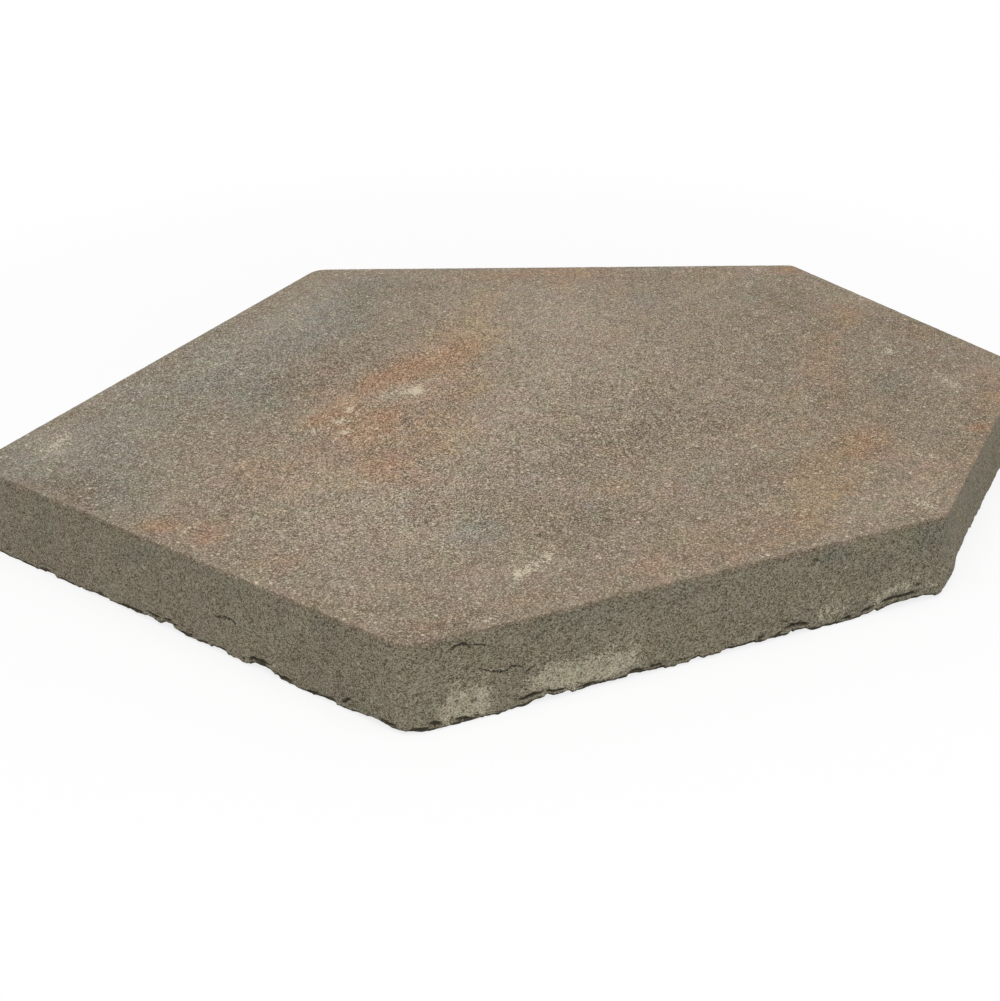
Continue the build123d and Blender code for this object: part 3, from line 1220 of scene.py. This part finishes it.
# The studio's lengths are in metres.
AMBIENT_LIGHT = 0.45           # what the world gives, where 1 would light a white face white
KEY_POWER = 24                 # watts of the one soft lamp above
KEY_SIZE = 2.2
KEY_PLACE = (-0.25, -0.7, 1.7)
FLOOR_ALBEDO = 0.7
FLOOR_REACH = 8.0
FLOOR_DROP = 0.06 * MM         # leaves the lowest chips of the foot above the floor
# Share of the floor that is plain white to the camera, which grows to all of it with the distance.
NEAR_GLOW = 0.8
GLOW_GROWTH = (0.25, 0.6)
# The camera, fitted to the photograph's edges: degrees, and millimetres for its lens and place.
CAMERA_TURN = -24.451
CAMERA_TILT = 28.777
CAMERA_ROLL = 0.311
CAMERA_LENS = 58.9
SENSOR_WIDTH = 36
CAMERA_PLACE = (-325.3, -705.8, 403.7)


def seen_directly(tree):
    """1 for what the camera sees straight or in a reflection, and 0 for light on the object."""
    path = tree.add("ShaderNodeLightPath")
    seen = tree.maths("MAXIMUM", path["Is Camera Ray"], path["Is Glossy Ray"])
    return tree.maths("MAXIMUM", seen, path["Is Transmission Ray"])


def studio():
    """A pale floor that keeps the stone's shadow, a white surround and one soft lamp."""
    world = bpy.data.worlds.new("surround")
    bpy.context.scene.world = world
    world.use_nodes = True
    tree = Tree(world.node_tree)
    strength = AMBIENT_LIGHT + (1 - AMBIENT_LIGHT) * seen_directly(tree)
    sky = tree.add("ShaderNodeBackground", None, {"Color": (1, 1, 1, 1), "Strength": strength})
    tree.add("ShaderNodeOutputWorld", None, {"Surface": sky["Background"]})

    paper = bpy.data.materials.new("floor_paper")
    paper.use_nodes = True
    tree = Tree(paper.node_tree)
    seen = seen_directly(tree)
    grey = (FLOOR_ALBEDO, FLOOR_ALBEDO, FLOOR_ALBEDO, 1)
    lit = tree.add("ShaderNodeBsdfDiffuse", None, {"Color": tree.blended(seen, grey, (1, 1, 1, 1))})
    glow = tree.add("ShaderNodeEmission", None, {"Strength": 1.0})
    # Far from the stone the floor is plain white to the camera, and near it the shadow shows.
    spot = tree.add("ShaderNodeTexCoord")["Object"]
    from_middle = tree.add("ShaderNodeVectorMath", {"operation": "LENGTH"}, {0: spot})["Value"]
    glow_share = NEAR_GLOW + tree.smooth_step(from_middle, *GLOW_GROWTH) * (1 - NEAR_GLOW)
    shares = {0: seen * glow_share, 1: lit["BSDF"], 2: glow["Emission"]}
    mixed = tree.add("ShaderNodeMixShader", None, shares)
    tree.add("ShaderNodeOutputMaterial", None, {"Surface": mixed["Shader"]})
    sheet = bpy.data.meshes.new("floor")
    quarters = ((-1, -1), (1, -1), (1, 1), (-1, 1))
    corners = [(x * FLOOR_REACH, y * FLOOR_REACH, -FLOOR_DROP) for x, y in quarters]
    sheet.from_pydata(corners, [], [(0, 1, 2, 3)])
    sheet.materials.append(paper)
    floor = bpy.data.objects.new("floor", sheet)
    bpy.context.scene.collection.objects.link(floor)

    lamp = bpy.data.lights.new("softbox", "AREA")
    lamp.shape = "DISK"
    lamp.size = KEY_SIZE
    lamp.energy = KEY_POWER
    key = bpy.data.objects.new("softbox", lamp)
    bpy.context.scene.collection.objects.link(key)
    place = Vector(KEY_PLACE)
    key.matrix_world = Matrix.Translation(place) @ place.to_track_quat("Z", "Y").to_matrix().to_4x4()


def photo_camera():
    """A camera at the photograph's viewing angle, where its lens was."""
    turn, tilt, roll = radians(CAMERA_TURN), radians(CAMERA_TILT), radians(CAMERA_ROLL)
    data = bpy.data.cameras.new("camera")
    data.sensor_width = SENSOR_WIDTH
    data.lens = CAMERA_LENS
    camera = bpy.data.objects.new("camera", data)
    bpy.context.scene.collection.objects.link(camera)
    place = Matrix.Translation(Vector(CAMERA_PLACE) * MM)
    turned = Matrix.Rotation(turn, 4, "Z") @ Matrix.Rotation(pi / 2 - tilt, 4, "X")
    camera.matrix_world = place @ turned @ Matrix.Rotation(roll, 4, "Z")
    bpy.context.scene.camera = camera


body = stone_body()
studio()
photo_camera()
bpy.context.scene.view_settings.view_transform = "Standard"
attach(body, "root")
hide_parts(STONE)
